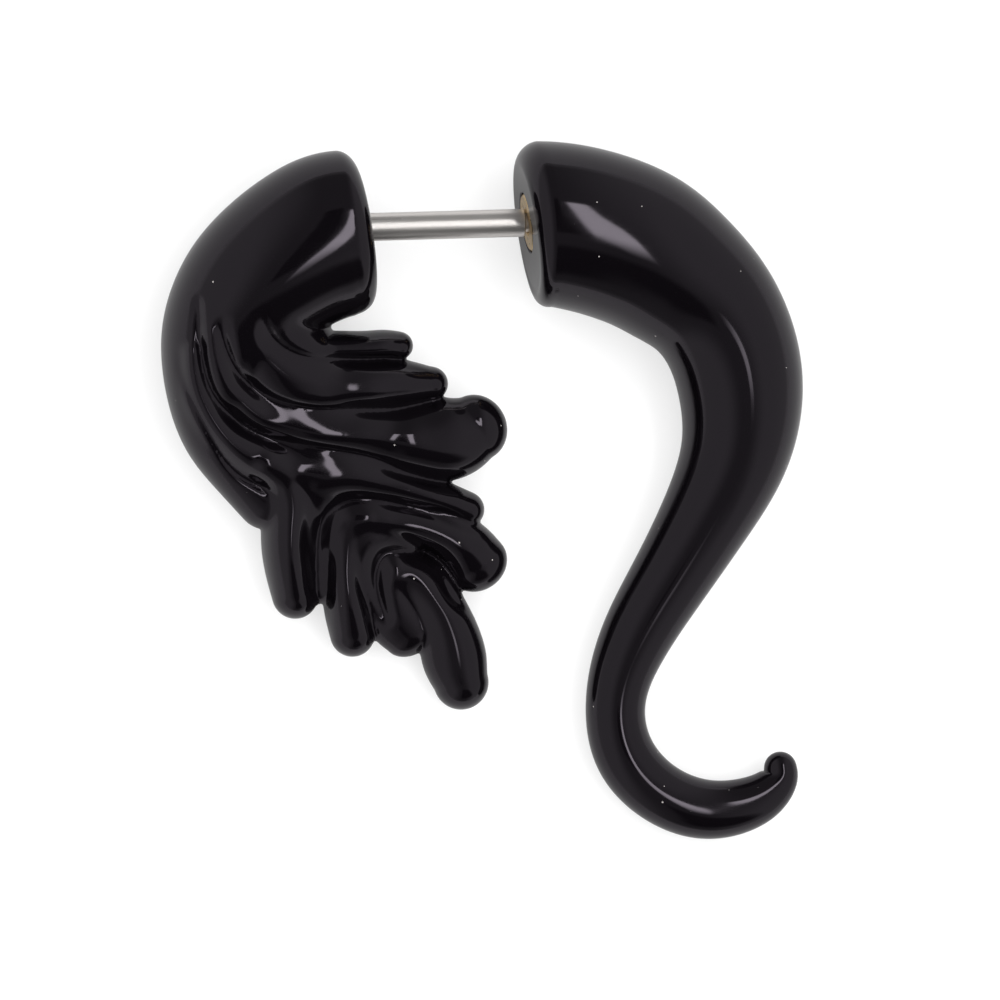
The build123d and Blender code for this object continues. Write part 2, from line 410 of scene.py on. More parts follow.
def measure_from_line(points, line, batch=8000):
    """Where each point's nearest place on a line is, and how far beside and past it."""
    start = line[:-1, :2]
    step = line[1:, :2] - start
    length = np.hypot(step[:, 0], step[:, 1])
    along = np.empty(len(points))
    beside = np.empty(len(points))
    past = np.empty(len(points))
    for first in range(0, len(points), batch):
        part = points[first : first + batch]
        away = part[:, None, :] - start[None]
        share = np.clip((away * step[None]).sum(2) / length**2, 0, 1)
        away -= share[..., None] * step[None]
        nearest = (away**2).sum(2).argmin(1)
        rows = np.arange(len(part))
        direction = step[nearest] / length[nearest][:, None]
        gap = away[rows, nearest]
        place = slice(first, first + len(part))
        along[place] = nearest + share[rows, nearest]
        beside[place] = direction[:, 0] * gap[:, 1] - direction[:, 1] * gap[:, 0]
        past[place] = (direction * gap).sum(1)
    return along, beside, past


def blend_highest(one, other):
    """The higher of two maps, rounded where they cross."""
    room = ridge_room + ridge_room_growth * np.maximum(np.maximum(one, other), 0)
    overlap = np.maximum(room - np.abs(one - other), 0) / room
    return np.maximum(one, other) + overlap**2 * room / 4


def near_line(points, line, margin):
    """Which points lie in a box round a line."""
    low = line[:, :2].min(0) - margin
    high = line[:, :2].max(0) + margin
    return ((points > low) & (points < high)).all(1)


def ridge_map(points, table):
    """Squared half height of one ridge over the plan, negative outside it."""
    line = natural_curve(real_rows(table, -1, leaf_reach, leaf_drop), leaf_curve_step)
    line[:, 2:] *= face_radius
    result = np.full(len(points), far_outside)
    inside = near_line(points, line, ridge_margin * line[:, 2].max())
    along, beside, past = measure_from_line(points[inside], line)
    counter = np.arange(len(line))
    width = np.interp(along, counter, line[:, 2])
    depth = np.interp(along, counter, line[:, 3])
    tip = np.minimum(width, depth)
    result[inside] = depth**2 * (1 - (beside / width) ** 2 - (past / tip) ** 2)
    return result


def valley_map(points, table):
    """Share of the height that is left over the plan where one valley is carved."""
    line = natural_curve(real_rows(table, -1, leaf_reach, leaf_drop), leaf_curve_step)
    line[:, 3:] *= face_radius
    result = np.ones(len(points))
    inside = near_line(points, line, line[:, 3:].max())
    along, beside, past = measure_from_line(points[inside], line)
    counter = np.arange(len(line))
    share, above, below = (np.interp(along, counter, line[:, column]) for column in (2, 3, 4))
    left = np.clip(1 - np.abs(beside) / np.where(beside > 0, above, below), 0, 1)
    depth = left ** np.where(beside > 0, valley_upper_curve, valley_lower_curve)
    fade = np.clip(1 - np.abs(past) / valley_fade, 0, 1)
    result[inside] = 1 - np.clip(share, 0, 1) * depth * fade
    return result


def soften(grid, radius):
    """Smooth a map with a bell of the given radius in steps."""
    reach = int(3 * radius) + 1
    bell = np.exp(-0.5 * (np.arange(-reach, reach + 1) / radius) ** 2)
    bell /= bell.sum()
    for axis in (0, 1):
        padded = np.pad(grid, [(reach, reach) if a == axis else (0, 0) for a in (0, 1)], "edge")
        shifted = [
            weight * np.take(padded, range(k, k + grid.shape[axis]), axis=axis)
            for k, weight in enumerate(bell)
        ]
        grid = sum(shifted)
    return grid


def leaf_map():
    """Squared half height of the carved front over its plan, with the plan's two corners."""
    low = np.array([-half_gap - leaf_reach - plan_margin, -leaf_drop - plan_margin])
    high = np.array([plan_end, face_radius + plan_margin])
    count = np.ceil((high - low) / map_step).astype(int)
    across = low[0] + map_step * np.arange(count[0])
    up = low[1] + map_step * np.arange(count[1])
    points = np.stack(np.meshgrid(across, up, indexing="ij"), axis=-1).reshape(-1, 2)
    height = np.full(len(points), far_outside)
    for table in leaf_rows.values():
        height = blend_highest(height, ridge_map(points, table))
    height = np.maximum(height, floor_outside)
    for table in leaf_valleys.values():
        height *= valley_map(points, table) ** 2
    return soften(height.reshape(count), map_softness / map_step), low, high


def sample_map(grid, low, points):
    """Read a map between its steps."""
    just_over_one = 1.001
    place = (points[:, :2] - low) / map_step
    place = np.clip(place, 0, np.array(grid.shape) - just_over_one)
    cell = place.astype(int)
    part = place - cell
    i, j = cell.T
    u, v = part.T
    return (
        grid[i, j] * (1 - u) * (1 - v)
        + grid[i + 1, j] * u * (1 - v)
        + grid[i, j + 1] * (1 - u) * v
        + grid[i + 1, j + 1] * u * v
    )


def leaf_depth(points, grid, low, rim):
    """About how deep each point lies inside the carved front, negative outside."""
    solid = sample_map(grid, low, points) - points[:, 2] ** 2
    under_skin = deepest * (1 - np.sqrt(np.maximum(1 - solid / deepest**2, 0)))
    behind_face = -(points[:, 0] + half_gap) * cos(face_slant) - points[:, 1] * sin(face_slant)
    behind_face = np.where(points[:, 1] > face_reach, behind_face, deepest)
    corner = np.hypot(np.maximum(rim - under_skin, 0), np.maximum(rim - behind_face, 0))
    shell = rim - corner
    from_axis = np.hypot(points[:, 1], points[:, 2])
    outside_bore = np.maximum(from_axis - tang_bore_radius, tang_bore_end - points[:, 0])
    return np.minimum(shell, outside_bore)


def net_cells(values):
    """Vertices and quads of the surface where a block of values changes sign."""
    inside = values > 0
    shape = np.array(values.shape) - 1
    corner_sum = np.zeros(shape, int)
    offsets = [(a, b, c) for a in (0, 1) for b in (0, 1) for c in (0, 1)]
    for a, b, c in offsets:
        corner_sum += inside[a : a + shape[0], b : b + shape[1], c : c + shape[2]]
    cells = np.argwhere((corner_sum > 0) & (corner_sum < 8))
    number = np.full(tuple(shape), -1)
    number[tuple(cells.T)] = np.arange(len(cells))
    total = np.zeros((len(cells), 3))
    hits = np.zeros(len(cells))
    for first in offsets:
        for axis in range(3):
            if first[axis]:
                continue
            second = list(first)
            second[axis] = 1
            one = values[tuple((cells + first).T)]
            two = values[tuple((cells + second).T)]
            cross = (one > 0) != (two > 0)
            share = np.where(cross, one / np.where(cross, one - two, 1), 0)
            step = np.zeros((len(cells), 3))
            step[:, axis] = share
            total += np.where(cross[:, None], step + first, 0)
            hits += cross
    vertices = cells + total / hits[:, None]
    quads = []
    for axis in range(3):
        ahead = np.roll(inside, -1, axis)
        change = inside != ahead
        edges = np.argwhere(change)
        other = [a for a in range(3) if a != axis]
        keep = (edges[:, axis] < shape[axis]) & (edges[:, other] > 0).all(1)
        keep &= (edges[:, other] < shape[other]).all(1)
        edges = edges[keep]
        ring = []
        for back in ((0, 0), (1, 0), (1, 1), (0, 1)):
            cell = edges.copy()
            cell[:, other[0]] -= back[0]
            cell[:, other[1]] -= back[1]
            ring.append(number[tuple(cell.T)])
        quad = np.stack(ring, axis=1)
        flip = inside[tuple(edges.T)] == (axis == 1)
        quad[flip] = quad[flip][:, ::-1]
        quads.append(quad)
    return vertices, np.concatenate(quads)


def turn_about_post(points, angle):
    """Turn points about the post's axis."""
    y, z = points[:, 1].copy(), points[:, 2].copy()
    points[:, 1] = y * cos(angle) - z * sin(angle)
    points[:, 2] = y * sin(angle) + z * cos(angle)
    return points


def leaf_shape(rim):
    """Vertices and faces of the carved front, in millimetres."""
    grid, low, high = leaf_map()
    first = np.array([*low, -block_half_height])
    last = np.array([*high, block_half_height])
    count = np.ceil((last - first) / cell_size).astype(int)
    axes = [first[a] + cell_size * np.arange(count[a]) for a in range(3)]
    block = np.empty(count)
    for k, height in enumerate(axes[2]):
        sheet = np.stack(np.meshgrid(axes[0], axes[1], indexing="ij"), axis=-1).reshape(-1, 2)
        sheet = np.column_stack((sheet, np.full(len(sheet), height)))
        block[:, :, k] = leaf_depth(sheet, grid, low, rim).reshape(count[0], count[1])
    vertices, faces = net_cells(block)
    vertices = first + vertices * cell_size
    for _ in range(settling_passes):
        depth = leaf_depth(vertices, grid, low, rim)
        slope = np.empty_like(vertices)
        for axis in range(3):
            shift = np.zeros(3)
            shift[axis] = settling_nudge
            ahead = leaf_depth(vertices + shift, grid, low, rim)
            behind = leaf_depth(vertices - shift, grid, low, rim)
            slope[:, axis] = (ahead - behind) / (2 * settling_nudge)
        size = np.maximum((slope**2).sum(1), least_slope)
        move = np.clip(depth / size, -longest_move, longest_move)
        vertices -= move[:, None] * slope
    widest = leaf_rows["neck"][3]
    foot = leaf_rows["tooth_6"][-1]
    return turn_about_post(vertices, lie_angle(widest, foot, leaf_drop)), faces


def fan(middle, ring, sides, outward):
    """Triangles from a middle point to a ring that starts at a row of vertices."""
    here = ring + np.arange(sides)
    beside = ring + (np.arange(sides) + 1) % sides
    if not outward:
        here, beside = beside, here
    return np.stack((np.full(sides, middle), here, beside), axis=1).tolist()


def bridge(rings, start=None, end=None):
    """Vertices and faces that join rings of points, closed towards points at the start and end."""
    sides = len(rings[0])
    vertices = np.concatenate(rings)
    here = np.arange(sides)
    beside = (here + 1) % sides
    faces = []
    for ring in range(len(rings) - 1):
        base = ring * sides
        quad = (base + here, base + beside, base + sides + beside, base + sides + here)
        faces += np.stack(quad, axis=1).tolist()
    if start is not None:
        faces += fan(len(vertices), 0, sides, outward=False)
        vertices = np.concatenate((vertices, start[None]))
    if end is not None:
        faces += fan(len(vertices), (len(rings) - 1) * sides, sides, outward=True)
        vertices = np.concatenate((vertices, end[None]))
    return vertices, faces


def round_places(sides):
    """Even angles for the points of one ring."""
    return 2 * pi * np.arange(sides) / sides


def on_slant(ring):
    """Places along the post where a ring's points meet the tail's slanted face."""
    return half_gap - ring[:, 1] * tan(face_slant)


def tail_shape(rim):
    """Vertices and faces of the tail with its slanted face and its pocket, in millimetres."""
    line = natural_curve(real_rows(tail_rows, 1, tail_reach, tail_drop), tail_curve_step)
    middle = np.column_stack((line[:, :2], np.zeros(len(line))))
    radius = line[:, 2] * face_radius
    ahead = np.gradient(middle, axis=0)
    ahead /= np.linalg.norm(ahead, axis=1)[:, None]
    across = np.column_stack((-ahead[:, 1], ahead[:, 0], np.zeros(len(line))))
    angles = round_places(tail_sides)
    upright = np.array([0.0, 0.0, 1.0])
    outward = np.array([-cos(face_slant), -sin(face_slant), 0.0])
    corner = np.array([half_gap, 0.0, 0.0])
    counter = np.arange(len(line))

    def ring_at(places, inset=0.0):
        """Points round the tail, each at its own place along the line."""
        centre = np.column_stack([np.interp(places, counter, middle[:, a]) for a in range(3)])
        side = np.column_stack([np.interp(places, counter, across[:, a]) for a in range(3)])
        size = np.interp(places, counter, radius) - inset
        normal = np.cos(angles)[:, None] * side + np.sin(angles)[:, None] * upright
        return centre + size[:, None] * normal, normal

    # Where the rounded rim touches the skin, found for each of the tail's sides
    start = np.empty(tail_sides)
    near = np.arange(0, root_search)
    for number, angle in enumerate(angles):
        normal = cos(angle) * across[near] + sin(angle) * upright
        ball = middle[near] + (radius[near] - rim)[:, None] * normal
        depth = (corner - ball) @ outward - rim
        start[number] = np.interp(0.0, depth, near)
    _, normal = ring_at(start)
    ball, _ = ring_at(start, rim)
    face_edge = ball + rim * outward

    # Pocket, bevel, slanted face and rim
    hole = np.column_stack((np.zeros(tail_sides), np.cos(angles), np.sin(angles))) * pocket_radius
    rings = []
    for place in (pocket_end, pocket_middle * pocket_end, on_slant(hole) + pocket_bevel):
        ring = hole.copy()
        ring[:, 0] = place
        rings.append(ring)
    wide = hole * (1 + pocket_bevel / pocket_radius)
    wide[:, 0] = on_slant(wide)
    rings.append(wide)
    for share in face_rings:
        rings.append(wide + share * (face_edge - wide))
    for turn in np.linspace(0, pi / 2, rim_rings):
        rings.append(ball + rim * (cos(turn) * outward + sin(turn) * normal))

    # Sweep from the rim to the rounded tip
    for share in np.linspace(0, 1, root_rings)[1:]:
        rings.append(ring_at(start + share * (root_end - start))[0])
    for place in np.linspace(root_end, len(line) - 1, body_rings)[1:]:
        rings.append(ring_at(np.full(tail_sides, place))[0])
    taper = atan2(radius[-tip_rise] - radius[-1], np.linalg.norm(middle[-1] - middle[-tip_rise]))
    tip_radius = radius[-1] / cos(taper)
    end = middle[-1] - tip_radius * sin(taper) * ahead[-1]
    side = np.cos(angles)[:, None] * across[-1] + np.sin(angles)[:, None] * upright
    for turn in np.linspace(taper, pi / 2, tip_rings)[1:-1]:
        rings.append(end + tip_radius * (cos(turn) * side + sin(turn) * ahead[-1]))
    vertices, faces = bridge(rings, start=rings[0].mean(0), end=end + tip_radius * ahead[-1])
    return turn_about_post(vertices, lie_angle(tail_rows[3], tail_rows[16], tail_drop)), faces


def turned_ring(place, radius):
    """Points of one ring round the post's axis."""
    angles = round_places(lathe_sides)
    return np.column_stack((np.full(lathe_sides, place), np.cos(angles) * radius, np.sin(angles) * radius))


def close_rings(rings):
    """Vertices and faces of rings that are closed by a flat end on both sides."""
    return bridge(rings, start=rings[0].mean(0), end=rings[-1].mean(0))


def post_shape(pitch, crest):
    """Vertices and faces of the post with its tang, its shank and its thread, in millimetres."""
    root = thread_core_radius - crest
    thread_start = shoulder + thread_runout
    thread_stop = post_end - thread_chamfer
    profile = (
        (post_start, tang_radius - tang_chamfer),
        (post_start + tang_chamfer, tang_radius),
        (-shoulder, tang_radius),
        (-shoulder, shank_radius - shank_edge),
        (-shoulder + shank_edge, shank_radius),
        (-0.5 * shoulder, shank_radius),
        (0.0, shank_radius),
        (0.5 * shoulder, shank_radius),
        (shoulder - shank_edge, shank_radius),
        (shoulder, shank_radius - shank_edge),
        (shoulder, root),
        (thread_start, root),
    )
    rings = [turned_ring(place, radius) for place, radius in profile]
    turns = round_places(lathe_sides) / (2 * pi)
    for place in np.arange(thread_start, thread_stop, pitch / rings_a_turn):
        height = np.abs((place / pitch - turns) % 1.0 - 0.5) * 2
        height = np.clip(crest_slope * height - crest_flat, 0, 1)
        grow = min((place - thread_start) / pitch, (thread_stop - place) / pitch, 1.0)
        rings.append(turned_ring(place, root + 2 * crest * max(grow, 0.0) * height))
    rings.append(turned_ring(thread_stop, root))
    rings.append(turned_ring(post_end, thread_core_radius - thread_chamfer))
    return close_rings(rings)


def insert_shape():
    """Vertices and faces of the brass sleeve, faced off level with the slanted face."""
    profile = (
        (insert_bore_end, insert_bore_radius),
        (insert_bore_middle, insert_bore_radius),
        (insert_sink, insert_bore_radius),
        (0.0, insert_bore_radius + insert_sink),
        (0.0, insert_face_middle),
        (0.0, insert_radius - insert_chamfer),
        (insert_chamfer, insert_radius),
        (insert_side_middle, insert_radius),
        (insert_end - insert_chamfer, insert_radius),
        (insert_end, insert_radius - insert_chamfer),
    )
    rings = [turned_ring(place, radius) for place, radius in profile]
    for ring, (place, _) in zip(rings, profile):
        if place < slant_limit:
            ring[:, 0] = on_slant(ring) + place
    return close_rings(rings)


def make_piece(name, vertices, faces, material, crisp_angle=None):
    """A smooth mesh object from millimetres, with its sharper edges kept crisp."""
    mesh = bpy.data.meshes.new(name)
    mesh.from_pydata((np.asarray(vertices) * MM).tolist(), [], [list(face) for face in faces])
    mesh.validate()
    mesh.update()
    mesh.shade_smooth()
    if crisp_angle is not None:
        mesh.set_sharp_from_angle(angle=crisp_angle)
    piece = bpy.data.objects.new(name, mesh)
    bpy.context.scene.collection.objects.link(piece)
    mesh.materials.append(material)
    return piece


def new_group(name, inputs, outputs):
    """An empty shader node group with named sockets."""
    group = bpy.data.node_groups.new(name, "ShaderNodeTree")
    for label, default in inputs:
        socket = group.interface.new_socket(label, in_out="INPUT", socket_type="NodeSocketFloat")
        socket.default_value = default
    for label in outputs:
        group.interface.new_socket(label, in_out="OUTPUT", socket_type="NodeSocketFloat")
    start = group.nodes.new("NodeGroupInput")
    end = group.nodes.new("NodeGroupOutput")
    return group, start, end


def math_node(tree, operation, first, second=None):
    """A math node fed by sockets or numbers, giving its output socket."""
    node = tree.nodes.new("ShaderNodeMath")
    node.operation = operation
    for socket, value in zip(node.inputs, (first, second)):
        if value is None:
            continue
        if isinstance(value, (int, float)):
            socket.default_value = value
        else:
            tree.links.new(value, socket)
    return node.outputs[0]


def dust_group():
    """Sparse pale specks that lie on a surface."""
    if "Dust Specks" in bpy.data.node_groups:
        return bpy.data.node_groups["Dust Specks"]
    group, start, end = new_group(
        "Dust Specks", [("Density", 900.0), ("Share", 0.1), ("Size", 0.05)], ["Mask"]
    )
    place = group.nodes.new("ShaderNodeTexCoord")
    cells = group.nodes.new("ShaderNodeTexVoronoi")
    cells.feature = "F1"
    group.links.new(place.outputs["Object"], cells.inputs["Vector"])
    group.links.new(start.outputs["Density"], cells.inputs["Scale"])
    chosen = group.nodes.new("ShaderNodeSeparateColor")
    group.links.new(cells.outputs["Color"], chosen.inputs["Color"])
    is_speck = math_node(group, "LESS_THAN", chosen.outputs["Red"], start.outputs["Share"])
    size = math_node(group, "MULTIPLY", chosen.outputs["Green"], start.outputs["Size"])
    near = math_node(group, "LESS_THAN", cells.outputs["Distance"], size)
    group.links.new(math_node(group, "MULTIPLY", is_speck, near), end.inputs["Mask"])
    return group


def polish_group():
    """Faint unevenness and fine scratches that polishing leaves."""
    if "Polish Marks" in bpy.data.node_groups:
        return bpy.data.node_groups["Polish Marks"]
    group, start, end = new_group(
        "Polish Marks",
        [
            ("Waviness", 1.0), ("Wave Scale", 250.0), ("Scratches", 0.3),
            ("Scratch Scale", 2500.0), ("Stretch", 0.1),
        ],
        ["Height", "Streaks"],
    )
    place = group.nodes.new("ShaderNodeTexCoord")
    wave = group.nodes.new("ShaderNodeTexNoise")
    wave.inputs["Detail"].default_value = 2.0
    group.links.new(place.outputs["Object"], wave.inputs["Vector"])
    group.links.new(start.outputs["Wave Scale"], wave.inputs["Scale"])
    stretch = group.nodes.new("ShaderNodeCombineXYZ")
    group.links.new(start.outputs["Stretch"], stretch.inputs["X"])
    stretch.inputs["Y"].default_value = 1.0
    stretch.inputs["Z"].default_value = 1.0
    drawn = group.nodes.new("ShaderNodeVectorMath")
    drawn.operation = "MULTIPLY"
    group.links.new(place.outputs["Object"], drawn.inputs[0])
    group.links.new(stretch.outputs[0], drawn.inputs[1])
    scratch = group.nodes.new("ShaderNodeTexNoise")
    scratch.inputs["Detail"].default_value = 3.0
    group.links.new(drawn.outputs[0], scratch.inputs["Vector"])
    group.links.new(start.outputs["Scratch Scale"], scratch.inputs["Scale"])
    tall = math_node(group, "MULTIPLY", wave.outputs[0], start.outputs["Waviness"])
    fine = math_node(group, "MULTIPLY", scratch.outputs[0], start.outputs["Scratches"])
    group.links.new(math_node(group, "ADD", tall, fine), end.inputs["Height"])
    group.links.new(scratch.outputs[0], end.inputs["Streaks"])
    return group


def new_material(name):
    """A material with its Principled shader ready."""
    material = bpy.data.materials.new(name)
    material.use_nodes = True
    tree = material.node_tree
    return material, tree, tree.nodes["Principled BSDF"]


def place_group(tree, group, values):
    """Put a node group in a material with its own values."""
    node = tree.nodes.new("ShaderNodeGroup")
    node.node_tree = group
    for label, value in values.items():
        node.inputs[label].default_value = value
    return node


def mix_values(tree, factor, low, high):
    """Go from one value to another by a factor."""
    node = tree.nodes.new("ShaderNodeMapRange")
    node.inputs["To Min"].default_value = low
    node.inputs["To Max"].default_value = high
    tree.links.new(factor, node.inputs["Value"])
    return node.outputs["Result"]


def mix_colours(tree, factor, low, high):
    """Go from one colour to another by a factor."""
    node = tree.nodes.new("ShaderNodeMix")
    node.data_type = "RGBA"
    node.inputs["A"].default_value = (*low, 1.0)
    node.inputs["B"].default_value = (*high, 1.0)
    tree.links.new(factor, node.inputs["Factor"])
    return node.outputs["Result"]


def add_bump(tree, shader, height, distance):
    """Feed a height into the shader's normal."""
    bump = tree.nodes.new("ShaderNodeBump")
    bump.inputs["Strength"].default_value = 1.0
    bump.inputs["Distance"].default_value = distance
    tree.links.new(height, bump.inputs["Height"])
    tree.links.new(bump.outputs["Normal"], shader.inputs["Normal"])


def black_acrylic(colour, gloss):
    """Polished black acrylic with faint polishing marks and a few specks of dust."""
    if "Black Acrylic" in bpy.data.materials:
        return bpy.data.materials["Black Acrylic"]
    material, tree, shader = new_material("Black Acrylic")
    shader.inputs["IOR"].default_value = acrylic_index
    shader.inputs["Specular Tint"].default_value = (*acrylic_sheen, 1.0)
    dust = place_group(tree, dust_group(), dust_specks)
    polish = place_group(tree, polish_group(), acrylic_marks)
    surface = mix_colours(tree, dust.outputs["Mask"], colour, dust_colour)
    tree.links.new(surface, shader.inputs["Base Color"])
    streaks = polish.outputs["Streaks"]
    dull = mix_values(tree, streaks, gloss - acrylic_glossier, gloss + acrylic_duller)
    tree.links.new(dull, shader.inputs["Roughness"])
    add_bump(tree, shader, polish.outputs["Height"], acrylic_mark_height)
    return material


def worked_metal(name, colour, finish):
    """Metal with streaks that darken and dull it a little."""
    material, tree, shader = new_material(name)
    shader.inputs["Metallic"].default_value = finish.metal
    polish = place_group(tree, polish_group(), finish.marks)
    streaks = polish.outputs["Streaks"]
    dark = tuple(finish.streak_share * part for part in colour)
    tree.links.new(mix_colours(tree, streaks, dark, colour), shader.inputs["Base Color"])
    tree.links.new(mix_values(tree, streaks, *finish.roughness), shader.inputs["Roughness"])
    add_bump(tree, shader, polish.outputs["Height"], finish.mark_height)
    return material


class EarTaperSizes(PropertyGroup):
    """Sizes that a user may change"""

    rim_radius: FloatProperty(
        name="Rim radius",
        description="Rounding round each face that meets the lobe",
        default=0.8 * MM,
        min=0.1 * MM, max=1.0 * MM, precision=5, unit="LENGTH",
    )
    thread_pitch: FloatProperty(
        name="Thread pitch",
        description="How far the tail moves in one turn",
        default=0.25 * MM,
        min=0.1 * MM, max=0.6 * MM, precision=5, unit="LENGTH",
    )
    thread_depth: FloatProperty(
        name="Thread depth",
        description="Height of the thread from root to crest",
        default=0.06 * MM,
        min=0.0, max=0.07 * MM, precision=6, unit="LENGTH",
    )


class EarTaperColours(PropertyGroup):
    """Colours and gloss that a user may change"""

    acrylic: FloatVectorProperty(
        name="Acrylic",
        description="Colour of both black halves",
        default=(0.0024, 0.0019, 0.0026),
        min=0.0, max=1.0, subtype="COLOR",
    )
    acrylic_roughness: FloatProperty(
        name="Acrylic roughness",
        description="How dull the polish is",
        default=0.06,
        min=0.03, max=1.0, subtype="FACTOR",
    )
    steel: FloatVectorProperty(
        name="Steel",
        description="Colour of the post",
        default=(0.92, 0.88, 0.85),
        min=0.0, max=1.0, subtype="COLOR",
    )
    brass: FloatVectorProperty(
        name="Brass",
        description="Colour of the threaded insert",
        default=(0.80, 0.58, 0.30),
        min=0.0, max=1.0, subtype="COLOR",
    )
    table: FloatVectorProperty(
        name="Table",
        description="Colour of the table",
        default=(0.90, 0.90, 0.90),
        min=0.0, max=1.0, subtype="COLOR",
    )


class EARTAPER_OT_front_leaf(Operator):
    """Carved black front with its ridges and teeth"""

    bl_idname = "eartaper.front_leaf"
    bl_label = "Carved Front"

    def execute(self, context):
        sizes = context.scene.ear_taper_sizes
        colours = context.scene.ear_taper_colours
        material = black_acrylic(tuple(colours.acrylic), colours.acrylic_roughness)
        vertices, faces = leaf_shape(sizes.rim_radius / MM)
        piece = make_piece("carved_front", vertices, faces, material)
        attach(piece, "front")
        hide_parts("front_leaf")
        return {"FINISHED"}


class EARTAPER_OT_tail_taper(Operator):
    """Black tail with its pocket for the insert"""

    bl_idname = "eartaper.tail_taper"
    bl_label = "Tail"

    def execute(self, context):
        sizes = context.scene.ear_taper_sizes
        colours = context.scene.ear_taper_colours
        material = black_acrylic(tuple(colours.acrylic), colours.acrylic_roughness)
        vertices, faces = tail_shape(sizes.rim_radius / MM)
        piece = make_piece("tail", vertices, faces, material, tail_crisp_angle)
        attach(piece, "tail")
        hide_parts("tail_taper")
        return {"FINISHED"}


class EARTAPER_OT_post(Operator):
    """Steel post with its bare shank and its thread"""

    bl_idname = "eartaper.post"
    bl_label = "Post"

    def execute(self, context):
        sizes = context.scene.ear_taper_sizes
        colour = tuple(context.scene.ear_taper_colours.steel)
        material = worked_metal("Brushed Steel", colour, steel_finish)
        vertices, faces = post_shape(sizes.thread_pitch / MM, sizes.thread_depth / MM / 2)
        piece = make_piece("steel_post", vertices, faces, material, post_crisp_angle)
        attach(piece, "front")
        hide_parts("post")
        return {"FINISHED"}


class EARTAPER_OT_threaded_insert(Operator):
    """Brass sleeve glued into the tail"""

    bl_idname = "eartaper.threaded_insert"
    bl_label = "Threaded Insert"

    def execute(self, context):
        colour = tuple(context.scene.ear_taper_colours.brass)
        material = worked_metal("Turned Brass", colour, brass_finish)
        vertices, faces = insert_shape()
        piece = make_piece("brass_insert", vertices, faces, material, insert_crisp_angle)
        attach(piece, "sleeve")
        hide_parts("threaded_insert")
        return {"FINISHED"}


def make_fill_light():
    """A wide soft light straight above that leaves no reflection."""
    light = bpy.data.lights.new("fill", "AREA")
    light.shape = "RECTANGLE"
    light.size = fill_width
    light.size_y = fill_width
    light.energy = fill_radiance * pi * fill_width**2
    lamp = bpy.data.objects.new("fill", light)
    bpy.context.scene.collection.objects.link(lamp)
    lamp.location = (0.0, 0.0, fill_height)
    lamp.visible_camera = False
    lamp.visible_glossy = False


def step_between(tree, value, edge, low, high):
    """Go smoothly from low to high while a value goes from an edge's start to its end."""
    node = tree.nodes.new("ShaderNodeMapRange")
    node.interpolation_type = "SMOOTHSTEP"
    tree.links.new(value, node.inputs["Value"])
    for label, number in zip(("From Min", "From Max", "To Min", "To Max"), (*edge, low, high)):
        node.inputs[label].default_value = number
    return node.outputs["Result"]


def distance_from(tree, value, middle):
    """How far a value lies from a middle value."""
    return math_node(tree, "ABSOLUTE", math_node(tree, "SUBTRACT", value, middle))


def product(tree, first, *others):
    """Several values multiplied in turn."""
    for other in others:
        first = math_node(tree, "MULTIPLY", first, other)
    return first


def make_world():
    """A grey room with a tall light overhead, a dark card beside it and darkness behind."""
    world = bpy.data.worlds.new("Studio")
    bpy.context.scene.world = world
    world.use_nodes = True
    tree = world.node_tree
    place = tree.nodes.new("ShaderNodeTexCoord")
    split = tree.nodes.new("ShaderNodeSeparateXYZ")
    tree.links.new(place.outputs["Generated"], split.inputs[0])
    across, ahead, up = split.outputs

    # Places on a wall behind the object, and on a ceiling over it
    behind = math_node(tree, "MULTIPLY", ahead, -1.0)
    on_wall = math_node(tree, "DIVIDE", across, math_node(tree, "MAXIMUM", behind, least_part))
    raised = math_node(tree, "MAXIMUM", up, least_part)
    along_ceiling = math_node(tree, "DIVIDE", ahead, raised)
    across_ceiling = math_node(tree, "DIVIDE", across, raised)

    # Darkness behind, and a dark card on the ceiling
    dark_wall = product(
        tree,
        step_between(tree, behind, back_edge, 0.0, 1.0),
        step_between(tree, up, back_foot_edge, 0.0, 1.0),
        step_between(tree, on_wall, back_left_edge, 0.0, 1.0),
        step_between(tree, on_wall, back_right_edge, 1.0, 0.0),
    )
    card = product(
        tree,
        step_between(tree, distance_from(tree, across_ceiling, card_across), card_side_edge, 1.0, 0.0),
        step_between(tree, distance_from(tree, along_ceiling, card_along), card_end_edge, 1.0, 0.0),
    )
    dark = math_node(tree, "MAXIMUM", dark_wall, card)

    # Grey room, brighter at its sides and low down
    sideways = math_node(tree, "ABSOLUTE", across)
    glow = step_between(tree, sideways, side_edge, room_overhead, room_sides)
    room = product(tree, glow, step_between(tree, dark, (0.0, 1.0), 1.0, dark_light))
    horizon = step_between(tree, up, horizon_edge, horizon_light, 0.0)

    # Tall light beside the card
    turned = math_node(tree, "MULTIPLY", along_ceiling, strip_turn)
    from_strip = distance_from(tree, math_node(tree, "SUBTRACT", across_ceiling, turned), strip_across)
    strip = product(
        tree,
        step_between(tree, from_strip, strip_side_edge, strip_light, 0.0),
        step_between(tree, along_ceiling, strip_front_edge, 0.0, 1.0),
        step_between(tree, along_ceiling, strip_back_edge, 1.0, 0.0),
    )

    # The lens itself sees plain white past the table
    radiance = math_node(tree, "ADD", math_node(tree, "ADD", room, horizon), strip)
    seen = tree.nodes.new("ShaderNodeLightPath")
    mix = tree.nodes.new("ShaderNodeMix")
    mix.data_type = "RGBA"
    tree.links.new(seen.outputs["Is Camera Ray"], mix.inputs["Factor"])
    tree.links.new(radiance, mix.inputs["A"])
    mix.inputs["B"].default_value = (1.0, 1.0, 1.0, 1.0)
    tree.links.new(mix.outputs["Result"], tree.nodes["Background"].inputs["Color"])


